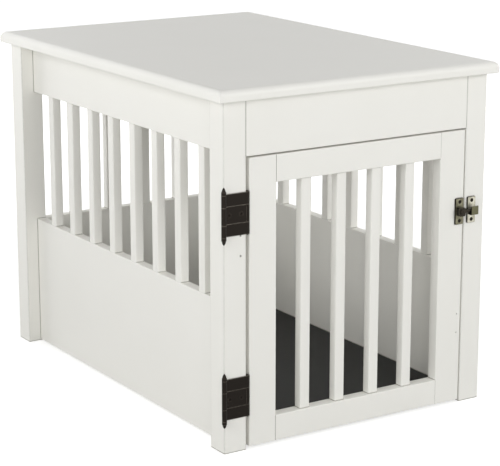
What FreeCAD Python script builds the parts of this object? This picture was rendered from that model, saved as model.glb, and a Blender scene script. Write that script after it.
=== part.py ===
import FreeCAD, Part
import os

# Dog crate end table: a painted wooden crate with a table top, barred walls and a barred door.
# Millimetres. X runs to the right, Y to the back and Z up. The origin is the centre of the
# table's outline at floor level. The door is in the front, which faces -Y.

V = FreeCAD.Vector

# ---------------------------------------------------------------- driving sizes
table_width = 500.0
table_depth = 710.0
table_height = 540.0

top_thickness = 18.0
top_overhang = 13.0
top_round = 10.0
top_arris = 1.5

post_size = 38.0
post_ease = 1.5

rail_height = 82.0
front_rail_thickness = 19.0
panel_thickness = 16.0
lower_panel_height = 217.0
lower_panel_lift = 2.0
board_ease = 1.0

slat_width = 17.0
slat_depth = 15.0
slat_ease = 1.8
side_slat_count = 8
back_slat_count = 5
door_slat_count = 4
tenon_length = 10.0
tenon_shoulder = 3.0
mortise_clearance = 0.1

dowel_radius = 4.0
dowel_length = 30.0
small_dowel_radius = 2.5
small_dowel_length = 24.0
dowel_clearance = 0.05
dowel_end_room = 0.5
dowel_inset = 20.0
dowel_stagger = 12.0
panel_dowel_inset = 40.0

top_batten_size = 20.0
top_batten_end_gap = 6.0
top_screw_count = 3
cleat_depth = 14.0
cleat_height = 10.0
cleat_screw_count = 3
floor_thickness = 9.0
floor_clearance = 1.0
floor_door_gap = 2.0

door_thickness = 19.0
door_foot_gap = 4.0
door_head_gap = 2.5
door_latch_gap = 2.0
door_hinge_gap = 5.6
stile_width = 46.0
door_top_rail_height = 40.5
door_bottom_rail_height = 39.5
door_ease = 1.2
door_slat_setback = 4.0
door_dowel_spread = 22.0

hinge_height = 61.5
hinge_from_door_middle = 137.5
hinge_end_band = 17.5
hinge_band_gap = 0.7
hinge_metal = 1.5
hinge_lift = 0.1
outer_knuckle_radius = 3.7
outer_pin_radius = 1.6
outer_axis_left = 2.0
outer_axis_front = 4.0
inner_knuckle_radius = 2.4
inner_pin_radius = 1.2
pin_clearance = 0.05
pin_end_gap = 0.3
finial_collar = 5.0
finial_step = 0.8
finial_tip = 6.0
finial_tip_radius = 2.9
inner_pin_head = 1.6
inner_pin_head_step = 0.4
door_leaf_depth = 14.0
hinge_screw_spread = 20.0

latch_height = 311.0
latch_plate_width = 15.0
latch_plate_height = 41.0
latch_plate_thickness = 3.0
latch_plate_corner = 1.5
latch_plate_bevel = 0.4
latch_plate_from_edge = 1.3
latch_hole_spacing = 30.0
latch_reach = 28.3
latch_bar_radius = 3.0
latch_hub_width = 13.0
latch_hub_height = 14.0
latch_hub_thickness = 6.6
latch_hub_corner = 3.5
latch_running_gap = 0.2
latch_stud_radius = 2.2
latch_stud_head_radius = 3.8
latch_stud_head = 1.4
keeper_inset = 12.5
keeper_hook_width = 13.0
keeper_hook_height = 13.5
keeper_hook_metal = 1.8
keeper_slot_room = 0.4

pilot_hole_radius = 1.0
pilot_hole_depth = 12.0
spare_latch_from_edge = 7.0
spare_keeper_inset = 9.5

screw_clearance = 0.05
screw_end_room = 0.5
screw_drive_width = 0.9
screw_drive_depth = 1.0
board_screw_head = 3.5
board_screw_shank = 1.8
top_screw_length = 32.0
rail_screw_length = 30.0
cleat_screw_length = 25.0
metal_screw_head = 3.0
metal_screw_shank = 1.5
hinge_screw_length = 18.0
latch_screw_length = 15.0

# shares of a size, for rounds that must shrink with thin stock and for turned ends
ease_share = 0.4
top_round_share = 0.8
top_arris_share = 0.1
screw_point_share = 0.3
screw_drive_share = 0.62
finial_nib_share = 0.1
finial_belly_share = 0.72
finial_belly_rise = 0.55
rivet_nose_share = 0.5
leaf_screw_share = 0.6
stud_round_share = 0.6
hub_corner_share = 0.45
bar_tip_share = 0.4
hook_lip_share = 0.5

same_direction = 0.999
same_place = 0.01

# ---------------------------------------------------------------- derived sizes
post_height = table_height - top_thickness
rail_bottom = post_height - rail_height
frame_x = table_width / 2 - top_overhang
frame_y = table_depth / 2 - top_overhang
inner_x = frame_x - post_size
inner_y = frame_y - post_size
wall_recess = post_size - panel_thickness
lower_panel_top = lower_panel_lift + lower_panel_height
floor_bottom = lower_panel_lift + cleat_height

front_y = -frame_y
door_left = -inner_x + door_hinge_gap
door_right = inner_x - door_latch_gap
door_bottom = door_foot_gap
door_top = rail_bottom - door_head_gap
door_back = front_y + door_thickness
door_middle = (door_bottom + door_top) / 2

outer_axis_x = -frame_x - outer_axis_left
outer_axis_y = front_y - outer_axis_front
inner_axis_x = -inner_x + door_hinge_gap / 2
inner_axis_y = front_y - hinge_lift - hinge_metal + inner_knuckle_radius
hinge_middles = {
    "upper": door_middle + hinge_from_door_middle,
    "lower": door_middle - hinge_from_door_middle,
}

latch_x = door_right - latch_plate_from_edge - latch_plate_width / 2
keeper_x = inner_x + keeper_inset
plate_front_y = front_y - latch_plate_thickness
bar_y = plate_front_y - latch_running_gap - latch_hub_thickness / 2

parts = {}


# ---------------------------------------------------------------- small helpers
def block(x0, x1, y0, y1, z0, z1):
    """Box between two opposite corners."""
    return Part.makeBox(x1 - x0, y1 - y0, z1 - z0, V(x0, y0, z0))


def edges_along(shape, direction):
    """Straight edges of a shape that run along one direction."""
    found = []
    for edge in shape.Edges:
        span = edge.Vertexes[-1].Point - edge.Vertexes[0].Point
        if span.Length > 0 and abs(span.dot(direction)) > same_direction * span.Length:
            found.append(edge)
    return found


def board(x0, x1, y0, y1, z0, z1, grain, ease):
    """Square-edged board whose long edges are softened, so its joints show as fine lines."""
    sides = sorted([x1 - x0, y1 - y0, z1 - z0])
    solid = block(x0, x1, y0, y1, z0, z1)
    return solid.makeFillet(min(ease, ease_share * sides[0]), edges_along(solid, grain))


def aimed(shape, point, direction):
    """Turn a shape made along +Z so that it starts at a point and runs along a direction."""
    moved = shape.copy()
    moved.Placement = FreeCAD.Placement(point, FreeCAD.Rotation(V(0, 0, 1), direction))
    return moved


def placed(shapes, turn, distance):
    """Take shapes from a wall's own frame to that wall's side of the table.

    In its own frame a wall runs along X and its outer face is y = 0, with the inside at +y."""
    spot = FreeCAD.Placement(V(0, 0, 0), FreeCAD.Rotation(V(0, 0, 1), turn))
    spot = spot.multiply(FreeCAD.Placement(V(0, -distance, 0), FreeCAD.Rotation()))
    moved = []
    for shape in shapes:
        copy = shape.copy()
        copy.Placement = spot.multiply(copy.Placement)
        moved.append(copy)
    return moved


def less(shape, tools):
    """Shape with the tools cut out of it."""
    return shape.cut(tools) if tools else shape


def spaced(first, last, count):
    """Evenly spaced positions from the first to the last."""
    return [first + (last - first) * i / (count - 1) for i in range(count)]


def slat_centres(first, last, count):
    """Centres of slats that leave equal gaps between themselves and both ends of an opening."""
    gap = (last - first - count * slat_width) / (count + 1)
    return [first + gap + slat_width / 2 + i * (gap + slat_width) for i in range(count)]


def keep(name, solids):
    """Store one sub-part, made of one solid or of several that are alike."""
    parts[name] = solids[0] if len(solids) == 1 else Part.makeCompound(solids)


# ---------------------------------------------------------------- fasteners
def screw(head, shank, length):
    """Countersunk cross-head screw that points along +Z from the face of its head."""
    body = Part.makeCone(head, shank, head - shank)
    point = 2 * shank
    body = body.fuse(Part.makeCylinder(shank, length - point))
    body = body.fuse(Part.makeCone(shank, screw_point_share * shank, point,
                                   V(0, 0, length - point)))
    reach = screw_drive_share * head
    half = screw_drive_width / 2
    cross = block(-reach, reach, -half, half, 0, screw_drive_depth)
    cross = cross.fuse(block(-half, half, -reach, reach, 0, screw_drive_depth))
    return body.cut(cross)


def screw_hole(head, shank, length):
    """Room for a screw, with a little clearance all round."""
    room = screw_clearance
    cone = Part.makeCone(head + room, shank + room, head - shank)
    return cone.fuse(Part.makeCylinder(shank + room, length + screw_end_room))


def driven(head, shank, length, spots, direction):
    """Screws and their holes at several points, all driven the same way."""
    made = [aimed(screw(head, shank, length), spot, direction) for spot in spots]
    holes = [aimed(screw_hole(head, shank, length), spot, direction) for spot in spots]
    return made, holes


def end_dowels(run, depth_in, heights, radius, length):
    """Dowels and their holes across both end joints of a board, in a wall's own frame."""
    made = []
    holes = []
    for end in (-run / 2, run / 2):
        for z in heights:
            start = V(end - length / 2, depth_in, z)
            made.append(Part.makeCylinder(radius, length, start, V(1, 0, 0)))
            start = V(end - length / 2 - dowel_end_room, depth_in, z)
            hole_length = length + 2 * dowel_end_room
            holes.append(Part.makeCylinder(radius + dowel_clearance, hole_length, start, V(1, 0, 0)))
    return made, holes


# ---------------------------------------------------------------- slats
def slat(centre, front, bottom, top, depth):
    """Upright bar with a tenon at each end, in a wall's own frame."""
    body = board(centre - slat_width / 2, centre + slat_width / 2,
                 front, front + depth, bottom, top, V(0, 0, 1), slat_ease)
    return body.fuse(tenon(centre, front, bottom, top, depth, 0.0)).removeSplitter()


def tenon(centre, front, bottom, top, depth, room):
    """Tenons of one slat as one upright, or the room that they need in the rails."""
    half = slat_width / 2 - tenon_shoulder + room
    return block(centre - half, centre + half,
                 front + tenon_shoulder - room, front + depth - tenon_shoulder + room,
                 bottom - tenon_length - room, top + tenon_length + room)


def slat_row(centres, front, bottom, top, depth):
    """A row of slats, and the mortises that take their ends."""
    slats = [slat(x, front, bottom, top, depth) for x in centres]
    mortises = [tenon(x, front, bottom, top, depth, mortise_clearance) for x in centres]
    return slats, mortises


# ---------------------------------------------------------------- fixed walls
def barred_wall(name, turn, distance, run, slat_count, stagger):
    """Top rail, lower panel, slats, dowels and floor cleat of one fixed wall."""
    half = run / 2
    middle = panel_thickness / 2
    rail = board(-half, half, 0, panel_thickness, rail_bottom, post_height, V(1, 0, 0), board_ease)
    panel = board(-half, half, 0, panel_thickness, lower_panel_lift, lower_panel_top,
                  V(1, 0, 0), board_ease)
    slats, mortises = slat_row(slat_centres(-half, half, slat_count),
                               middle - slat_depth / 2, lower_panel_top, rail_bottom, slat_depth)

    heights = [rail_bottom + dowel_inset + stagger,
               post_height - dowel_inset - stagger,
               lower_panel_lift + panel_dowel_inset + stagger,
               lower_panel_top - panel_dowel_inset - stagger]
    dowels, dowel_holes = end_dowels(run, middle, heights, dowel_radius, dowel_length)

    cleat_end = half - cleat_depth if name == "back" else half
    cleat = block(-cleat_end, cleat_end, panel_thickness, panel_thickness + cleat_depth,
                  lower_panel_lift, floor_bottom)
    spread = cleat_end - 3 * cleat_depth
    spots = [V(x, panel_thickness + cleat_depth, lower_panel_lift + cleat_height / 2)
             for x in spaced(-spread, spread, cleat_screw_count)]
    screws, screw_holes = driven(board_screw_head, board_screw_shank, cleat_screw_length,
                                 spots, V(0, -1, 0))

    keep(name + "_lower_panel",
         placed([less(panel, mortises + dowel_holes + screw_holes)], turn, distance))
    keep(name + "_slats", placed(slats, turn, distance))
    keep(name + "_dowels", placed(dowels, turn, distance))
    keep(name + "_floor_cleat", placed([less(cleat, screw_holes)], turn, distance))
    keep(name + "_cleat_screws", placed(screws, turn, distance))
    return less(rail, mortises + dowel_holes), placed(dowel_holes, turn, distance)


def top_batten(name, rail, turn, distance, run):
    """Batten in the corner of a side rail and the table top, screwed to both."""
    half = run / 2 - top_batten_end_gap
    inside = panel_thickness + top_batten_size
    batten = block(-half, half, panel_thickness, inside, post_height - top_batten_size, post_height)
    middle = panel_thickness + top_batten_size / 2
    reach = half - 2 * top_batten_size
    up_spots = [V(x, middle, post_height - top_batten_size)
                for x in spaced(-reach, reach, top_screw_count)]
    shift = 2 * board_screw_head + top_batten_size / 2
    side_spots = [V(spot.x + shift, inside, post_height - top_batten_size / 2) for spot in up_spots]
    ups, up_holes = driven(board_screw_head, board_screw_shank, top_screw_length,
                           up_spots, V(0, 0, 1))
    sides, side_holes = driven(board_screw_head, board_screw_shank, rail_screw_length,
                               side_spots, V(0, -1, 0))
    keep(name + "_top_rail", placed([less(rail, side_holes)], turn, distance))
    keep(name + "_top_batten", placed([less(batten, up_holes + side_holes)], turn, distance))
    keep(name + "_batten_screws", placed(ups + sides, turn, distance))
    return placed(up_holes, turn, distance)


def front_rail():
    """Deep rail over the door, flush with the front of the posts."""
    run = 2 * inner_x
    rail = board(-inner_x, inner_x, 0, front_rail_thickness, rail_bottom, post_height,
                 V(1, 0, 0), board_ease)
    ends = edges_along(rail, V(0, 0, 1))
    rail = rail.makeFillet(board_ease / 2, [e for e in ends if e.CenterOfMass.y < board_ease])
    heights = [rail_bottom + dowel_inset, post_height - dowel_inset]
    dowels, holes = end_dowels(run, front_rail_thickness / 2, heights, dowel_radius, dowel_length)
    keep("front_top_rail", placed([less(rail, holes)], 0, frame_y))
    keep("front_rail_dowels", placed(dowels, 0, frame_y))
    return placed(holes, 0, frame_y)


def floor_front_batten():
    """Low batten between the front posts that carries the front edge of the floor panel."""
    run = 2 * inner_x
    near = door_thickness + floor_door_gap
    far = post_size
    batten = block(-inner_x, inner_x, near, far, lower_panel_lift, floor_bottom)
    dowels, holes = end_dowels(run, (near + far) / 2, [lower_panel_lift + cleat_height / 2],
                               small_dowel_radius, small_dowel_length)
    keep("floor_front_batten", placed([less(batten, holes)], 0, frame_y))
    keep("front_batten_dowels", placed(dowels, 0, frame_y))
    return placed(holes, 0, frame_y)


def floor_panel():
    """Loose floor board that rests on the cleats and the front batten."""
    x = inner_x - floor_clearance
    panel = block(-x, x, door_back + floor_door_gap, inner_y - floor_clearance,
                  floor_bottom, floor_bottom + floor_thickness)
    keep("floor_panel", [panel])


def table_top(screw_holes):
    """Table top with a large round over its upper edge and mitred corners."""
    half_x = table_width / 2
    half_y = table_depth / 2
    slab = block(-half_x, half_x, -half_y, half_y, post_height, table_height)
    upper = [e for e in slab.Edges if e.BoundBox.ZMin > table_height - same_place]
    slab = slab.makeFillet(min(top_round, top_round_share * top_thickness), upper)
    lower = [e for e in slab.Edges if e.BoundBox.ZMax < post_height + same_place]
    slab = slab.makeFillet(min(top_arris, top_arris_share * top_thickness), lower)
    keep("table_top", [less(slab, screw_holes)])


def post(name, side, end, holes):
    """Corner post, softened along its edges and bored for its dowels and screws."""
    x = sorted([side * frame_x, side * inner_x])
    y = sorted([end * frame_y, end * inner_y])
    solid = board(x[0], x[1], y[0], y[1], 0, post_height, V(0, 0, 1), post_ease)
    keep(name, [less(solid, holes)])


# ---------------------------------------------------------------- hinges
def tube(x, y, z0, z1, radius, bore):
    """Knuckle of a hinge."""
    outer = Part.makeCylinder(radius, z1 - z0, V(x, y, z0))
    return outer.cut(Part.makeCylinder(bore, z1 - z0, V(x, y, z0)))


def turned_pin(x, y, foot, top):
    """Outer hinge pin, with a collar and a pointed tip turned on each end."""
    half = (top - foot) / 2
    collar = half + finial_collar
    tip = collar + finial_tip
    nib = finial_nib_share * finial_tip_radius
    edges = [Part.makeLine(V(outer_pin_radius, 0, -half), V(outer_pin_radius, 0, half)),
             Part.makeLine(V(0, 0, -tip), V(0, 0, tip))]
    for up in (1, -1):
        steps = [V(outer_pin_radius, 0, up * half),
                 V(outer_knuckle_radius, 0, up * half),
                 V(outer_knuckle_radius, 0, up * (collar - finial_step)),
                 V(finial_tip_radius, 0, up * collar)]
        edges += [Part.makeLine(a, b) for a, b in zip(steps, steps[1:])]
        belly = V(finial_belly_share * finial_tip_radius, 0,
                  up * (collar + finial_belly_rise * finial_tip))
        edges.append(Part.Arc(steps[-1], belly, V(nib, 0, up * tip)).toShape())
        edges.append(Part.makeLine(V(nib, 0, up * tip), V(0, 0, up * tip)))
    outline = Part.Wire(Part.__sortEdges__(edges))
    pin = Part.Face(outline).revolve(V(0, 0, 0), V(0, 0, 1), 360)
    return aimed(pin, V(x, y, (foot + top) / 2), V(0, 0, 1))


def hinge(name, middle):
    """Double-acting hinge: a leaf on the post, two links, a leaf in the door and two pins."""
    low = middle - hinge_height / 2
    high = middle + hinge_height / 2
    mid_low = low + hinge_end_band + hinge_band_gap
    mid_high = high - hinge_end_band - hinge_band_gap
    outer_bore = outer_pin_radius + pin_clearance
    inner_bore = inner_pin_radius + pin_clearance

    leaf = block(outer_axis_x, -inner_x - hinge_lift, front_y - hinge_metal, front_y,
                 mid_low, mid_high)
    leaf = leaf.fuse(Part.makeCylinder(outer_knuckle_radius, mid_high - mid_low,
                                       V(outer_axis_x, outer_axis_y, mid_low)))
    leaf = leaf.cut(Part.makeCylinder(outer_bore, mid_high - mid_low,
                                      V(outer_axis_x, outer_axis_y, mid_low)))
    post_middle = -frame_x + post_size / 2
    spots = [V(post_middle + step * hinge_screw_spread / 2, front_y - hinge_metal, middle)
             for step in (-1, 1)]
    post_screws, post_holes = driven(metal_screw_head, metal_screw_shank, hinge_screw_length,
                                     spots, V(0, 1, 0))
    keep(name + "_hinge_post_leaf", [less(leaf, post_holes)])

    links = []
    for z0, z1 in ((low, low + hinge_end_band), (high - hinge_end_band, high)):
        link = block(outer_axis_x, inner_axis_x, front_y - hinge_lift - hinge_metal,
                     front_y - hinge_lift, z0, z1)
        link = link.fuse(tube(outer_axis_x, outer_axis_y, z0, z1, outer_knuckle_radius, outer_bore))
        link = link.fuse(tube(inner_axis_x, inner_axis_y, z0, z1, inner_knuckle_radius, inner_bore))
        bore = Part.makeCylinder(inner_bore, z1 - z0, V(inner_axis_x, inner_axis_y, z0))
        links.append(link.cut(bore))
    keep(name + "_hinge_links", links)

    web_back = inner_axis_y + inner_knuckle_radius
    web_front = web_back - hinge_metal
    door_leaf = block(door_left, door_left + hinge_metal, web_front,
                      web_front + door_leaf_depth, low, high)
    door_leaf = door_leaf.fuse(block(inner_axis_x, door_left + hinge_metal, web_front, web_back,
                                     mid_low, mid_high))
    door_leaf = door_leaf.fuse(Part.makeCylinder(inner_knuckle_radius, mid_high - mid_low,
                                                 V(inner_axis_x, inner_axis_y, mid_low)))
    door_leaf = door_leaf.cut(Part.makeCylinder(inner_bore, mid_high - mid_low,
                                                V(inner_axis_x, inner_axis_y, mid_low)))
    spots = [V(door_left, web_front + leaf_screw_share * door_leaf_depth,
               middle + step * hinge_screw_spread) for step in (-1, 1)]
    door_screws, door_holes = driven(metal_screw_head, metal_screw_shank, hinge_screw_length,
                                     spots, V(1, 0, 0))
    keep(name + "_hinge_door_leaf", [less(door_leaf, door_holes)])
    leaf_seat = block(door_left, door_left + hinge_metal, web_front,
                      web_front + door_leaf_depth, low, high)

    pin_top = high + pin_end_gap
    pin_foot = low - pin_end_gap
    keep(name + "_outer_hinge_pin",
         [turned_pin(outer_axis_x, outer_axis_y, pin_foot, pin_top)])

    rivet = Part.makeCylinder(inner_pin_radius, pin_top - pin_foot,
                              V(inner_axis_x, inner_axis_y, pin_foot))
    for z, up in ((pin_top, 1), (pin_foot, -1)):
        head = Part.makeCone(inner_knuckle_radius - inner_pin_head_step,
                             rivet_nose_share * inner_pin_radius, inner_pin_head)
        rivet = rivet.fuse(aimed(head, V(inner_axis_x, inner_axis_y, z), V(0, 0, up)))
    keep(name + "_inner_hinge_pin", [rivet])
    return post_screws, post_holes, door_screws, door_holes + [leaf_seat]


# ---------------------------------------------------------------- latch
def latch_plate(x):
    """Small upright plate with softened corners, on the face of the front."""
    half_w = latch_plate_width / 2
    half_h = latch_plate_height / 2
    plate = block(x - half_w, x + half_w, plate_front_y, front_y,
                  latch_height - half_h, latch_height + half_h)
    plate = plate.makeFillet(latch_plate_corner, edges_along(plate, V(0, 1, 0)))
    rim = [e for e in plate.Edges if e.BoundBox.YMax < plate_front_y + same_place]
    return plate.makeChamfer(latch_plate_bevel, rim)


def plate_screws(x):
    """Two screws through a latch plate, and their holes."""
    spots = [V(x, plate_front_y, latch_height + step * latch_hole_spacing / 2) for step in (-1, 1)]
    return driven(metal_screw_head, metal_screw_shank, latch_screw_length, spots, V(0, 1, 0))


def latch():
    """Plate, stud and lever on the door, and the open-topped keeper on the right post."""
    plate = latch_plate(latch_x)
    door_screws, door_holes = plate_screws(latch_x)
    stud_room = latch_stud_radius + pin_clearance
    hub_back = plate_front_y - latch_running_gap
    hub_front = hub_back - latch_hub_thickness
    stud_front = hub_front - latch_running_gap
    stud = Part.makeCylinder(latch_stud_radius, front_y - stud_front,
                             V(latch_x, stud_front, latch_height), V(0, 1, 0))
    head = Part.makeCylinder(latch_stud_head_radius, latch_stud_head,
                             V(latch_x, stud_front - latch_stud_head, latch_height), V(0, 1, 0))
    face = stud_front - latch_stud_head
    front_rim = [e for e in head.Edges if e.BoundBox.YMax < face + same_place]
    head = head.makeFillet(stud_round_share * latch_stud_head, front_rim)
    stud_hole = Part.makeCylinder(stud_room, latch_plate_thickness,
                                  V(latch_x, plate_front_y, latch_height), V(0, 1, 0))
    keep("latch_door_plate", [less(plate, door_holes + [stud_hole])])
    keep("latch_stud", [stud.fuse(head)])
    keep("latch_plate_screws", door_screws)

    half_w = latch_hub_width / 2
    half_h = latch_hub_height / 2
    hub = block(latch_x - half_w, latch_x + half_w, hub_front, hub_back,
                latch_height - half_h, latch_height + half_h)
    hub = hub.makeFillet(min(latch_hub_corner, hub_corner_share * latch_hub_width),
                         edges_along(hub, V(0, 1, 0)))
    bar = Part.makeCylinder(latch_bar_radius, latch_reach, V(latch_x, bar_y, latch_height),
                            V(1, 0, 0))
    tip = [e for e in bar.Edges if e.BoundBox.XMin > latch_x + latch_reach - same_place]
    bar = bar.makeFillet(bar_tip_share * latch_bar_radius, tip)
    bore = Part.makeCylinder(stud_room, latch_hub_thickness + 2 * latch_running_gap,
                             V(latch_x, hub_front - latch_running_gap, latch_height), V(0, 1, 0))
    keep("latch_lever", [hub.fuse(bar).cut(bore)])

    keeper = latch_plate(keeper_x)
    lip_back = bar_y - latch_bar_radius - keeper_slot_room
    lip_front = lip_back - keeper_hook_metal
    slot_floor = latch_height - latch_bar_radius - keeper_slot_room
    hook_top = latch_height + keeper_hook_height / 2
    hook_foot = latch_height - keeper_hook_height / 2
    left = keeper_x - keeper_hook_width / 2
    right = keeper_x + keeper_hook_width / 2
    hook = block(left, right, lip_front, plate_front_y, hook_foot, slot_floor)
    hook = hook.fuse(block(left, right, lip_front, lip_back, hook_foot, hook_top))
    rim = [e for e in edges_along(hook, V(1, 0, 0)) if e.BoundBox.YMax < lip_front + same_place]
    hook = hook.makeFillet(hook_lip_share * keeper_hook_metal, rim)
    keeper_screws, keeper_holes = plate_screws(keeper_x)
    keep("latch_keeper", [less(keeper.fuse(hook), keeper_holes)])
    keep("latch_keeper_screws", keeper_screws)
    return door_holes, keeper_holes


def pilot_holes(x, middle):
    """Pair of pilot holes, spaced as the latch's screws, for fitting the door the other way."""
    spots = [middle - latch_hole_spacing / 2, middle + latch_hole_spacing / 2]
    return [Part.makeCylinder(pilot_hole_radius, pilot_hole_depth, V(x, front_y, z), V(0, 1, 0))
            for z in spots]


# ---------------------------------------------------------------- door
def door(hinge_side_holes, latch_side_holes):
    """Door frame of two stiles and two rails, with its slats and dowels."""
    left_in = door_left + stile_width
    right_in = door_right - stile_width
    bottom_in = door_bottom + door_bottom_rail_height
    top_in = door_top - door_top_rail_height
    up = V(0, 0, 1)
    across = V(1, 0, 0)
    hinge_stile = board(door_left, left_in, front_y, door_back, door_bottom, door_top, up, door_ease)
    latch_stile = board(right_in, door_right, front_y, door_back, door_bottom, door_top,
                        up, door_ease)
    top_rail = board(left_in, right_in, front_y, door_back, top_in, door_top, across, door_ease)
    bottom_rail = board(left_in, right_in, front_y, door_back, door_bottom, bottom_in,
                        across, door_ease)

    slats, mortises = slat_row(slat_centres(left_in, right_in, door_slat_count),
                               front_y + door_slat_setback, bottom_in, top_in,
                               door_thickness - door_slat_setback)
    rail_middles = [(door_bottom + bottom_in) / 2, (door_top + top_in) / 2]
    heights = [z + step * door_dowel_spread / 2 for z in rail_middles for step in (-1, 1)]
    dowels, holes = end_dowels(right_in - left_in, front_y + door_thickness / 2, heights,
                               dowel_radius, dowel_length)
    centre = V((left_in + right_in) / 2, 0, 0)
    for shape in dowels + holes:
        shape.translate(centre)

    keep("door_hinge_stile", [less(hinge_stile, holes + hinge_side_holes)])
    keep("door_latch_stile", [less(latch_stile, holes + latch_side_holes)])
    keep("door_top_rail", [less(top_rail, holes + mortises)])
    keep("door_bottom_rail", [less(bottom_rail, holes + mortises)])
    keep("door_slats", slats)
    keep("door_dowels", dowels)


# ---------------------------------------------------------------- the whole table
def build():
    """Make every sub-part in its place."""
    side_run = 2 * inner_y
    back_run = 2 * inner_x
    side_distance = frame_x - wall_recess
    back_distance = frame_y - wall_recess
    left_rail, left_holes = barred_wall("left", -90, side_distance, side_run, side_slat_count, 0)
    right_rail, right_holes = barred_wall("right", 90, side_distance, side_run, side_slat_count, 0)
    back_rail, back_holes = barred_wall("back", 180, back_distance, back_run, back_slat_count,
                                        dowel_stagger)
    keep("back_top_rail", placed([back_rail], 180, back_distance))
    top_holes = top_batten("left", left_rail, -90, side_distance, side_run)
    top_holes += top_batten("right", right_rail, 90, side_distance, side_run)
    table_top(top_holes)
    front_holes = front_rail() + floor_front_batten()
    floor_panel()

    post_screws = []
    post_screw_holes = []
    door_screws = []
    door_screw_holes = []
    for name, middle in hinge_middles.items():
        in_post, post_holes, in_door, door_holes = hinge(name, middle)
        post_screws += in_post
        post_screw_holes += post_holes
        door_screws += in_door
        door_screw_holes += door_holes
    keep("hinge_post_screws", post_screws)
    keep("hinge_door_screws", door_screws)

    latch_holes, keeper_holes = latch()
    spare_keeper = pilot_holes(-inner_x - spare_keeper_inset, latch_height)
    spare_latch = pilot_holes(door_right - spare_latch_from_edge, 2 * door_middle - latch_height)
    door(door_screw_holes, latch_holes + spare_latch)

    post("front_left_post", -1, -1, front_holes + left_holes + post_screw_holes + spare_keeper)
    post("front_right_post", 1, -1, front_holes + right_holes + keeper_holes)
    post("back_left_post", -1, 1, back_holes + left_holes)
    post("back_right_post", 1, 1, back_holes + right_holes)


build()
os.makedirs("parts", exist_ok=True)
for part_name, part_shape in parts.items():
    part_shape.exportStep("parts/" + part_name + ".step")
    print(part_name, "solids", len(part_shape.Solids), "volume", round(part_shape.Volume, 1))
print("nodes", len(parts))
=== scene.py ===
# %% [markdown]
# # A dog crate that doubles as an end table
# The real thing is a small painted cabinet: a moulded top on four square posts, barred walls over
# solid lower panels, a barred door in the front, two dark double-acting hinges and a brass latch.
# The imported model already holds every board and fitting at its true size. This script dresses it:
# it gives each surface its finish, and remakes what is better drawn by a rule than by hand, which
# is the moulded top, the rows of bars and the screws that show.

# %% Load the frame
import math

import bmesh
import bpy
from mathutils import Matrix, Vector


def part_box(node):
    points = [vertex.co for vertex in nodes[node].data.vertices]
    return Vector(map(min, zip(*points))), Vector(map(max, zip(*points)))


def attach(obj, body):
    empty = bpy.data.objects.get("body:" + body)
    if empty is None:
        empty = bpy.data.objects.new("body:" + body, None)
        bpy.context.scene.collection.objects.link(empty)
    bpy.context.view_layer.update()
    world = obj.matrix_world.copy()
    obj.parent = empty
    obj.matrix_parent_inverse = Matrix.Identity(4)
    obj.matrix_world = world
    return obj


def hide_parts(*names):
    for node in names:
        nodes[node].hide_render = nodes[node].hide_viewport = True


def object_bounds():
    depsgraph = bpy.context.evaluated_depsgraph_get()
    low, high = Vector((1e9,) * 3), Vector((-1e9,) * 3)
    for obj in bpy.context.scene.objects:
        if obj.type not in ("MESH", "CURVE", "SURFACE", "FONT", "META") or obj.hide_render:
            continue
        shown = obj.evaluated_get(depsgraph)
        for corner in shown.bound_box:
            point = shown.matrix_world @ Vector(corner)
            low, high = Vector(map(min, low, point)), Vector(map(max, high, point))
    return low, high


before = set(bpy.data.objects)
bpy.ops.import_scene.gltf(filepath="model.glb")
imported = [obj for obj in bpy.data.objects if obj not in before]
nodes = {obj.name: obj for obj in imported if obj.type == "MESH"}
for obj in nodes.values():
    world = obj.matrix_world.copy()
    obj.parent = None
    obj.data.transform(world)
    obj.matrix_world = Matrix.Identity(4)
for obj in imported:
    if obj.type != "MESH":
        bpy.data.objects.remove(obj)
cad_low, cad_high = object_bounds()
MM = 0.001
print("CAD box, mm:", [round((b - a) / MM, 1) for a, b in zip(cad_low, cad_high)])

# %% [markdown]
# ## One helper for nodes
# Materials and Geometry Nodes are both trees of nodes, and a tree is easier to read when each node
# is one call: what kind it is, how it is set, and what goes into its sockets. A socket that gets
# another node's output is linked, and one that gets a number or a colour holds that value. Next to
# it, two short functions turn a written colour and a size in millimetres into what sockets take.


# %% A helper for nodes
def add(tree, kind, inputs=None, **settings):
    """Adds one node, changes its settings, then fills its sockets with values or links."""
    made = tree.nodes.new(kind)
    for name, value in settings.items():
        setattr(made, name, value)
    for socket, value in (inputs or {}).items():
        if isinstance(value, bpy.types.NodeSocket):
            tree.links.new(value, made.inputs[socket])
        else:
            made.inputs[socket].default_value = value
    return made


def linear(code):
    """A colour written as #RRGGBB in the linear values that Blender's sockets take."""
    channels = [int(code[i:i + 2], 16) / 255 for i in (1, 3, 5)]
    return (*[c / 12.92 if c <= 0.04045 else ((c + 0.055) / 1.055) ** 2.4 for c in channels], 1.0)


def per_mm(size):
    """The texture scale at which one cell of a pattern is this many millimetres wide."""
    return 1 / (size * MM)


# %% [markdown]
# ## The camera
# A product picture of furniture is taken from a few metres away with a long lens, because that
# keeps the near post from looking huge. Here the camera stands to the left of the front, a little
# above the top, and looks down at the middle of the crate. Its place is worked out backwards from
# the point that it looks at, so turning it never loses the object.

# %% Camera
lens_mm = 132.8
camera_turn = math.radians(32.53)  # to the left of straight ahead
camera_tilt = math.radians(14.18)  # down from level
camera_distance = 3.056
camera_aim = Vector((0.0256, 0.0, 0.2253))

looking = Vector((math.sin(camera_turn) * math.cos(camera_tilt),
                  math.cos(camera_turn) * math.cos(camera_tilt),
                  -math.sin(camera_tilt)))
camera = bpy.data.objects.new("camera", bpy.data.cameras.new("camera"))
bpy.context.scene.collection.objects.link(camera)
camera.data.lens = lens_mm
camera.location = camera_aim - camera_distance * looking
camera.rotation_euler = looking.to_track_quat("-Z", "Y").to_euler()
bpy.context.scene.camera = camera
print("camera stands at", [round(v, 3) for v in camera.location])

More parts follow.
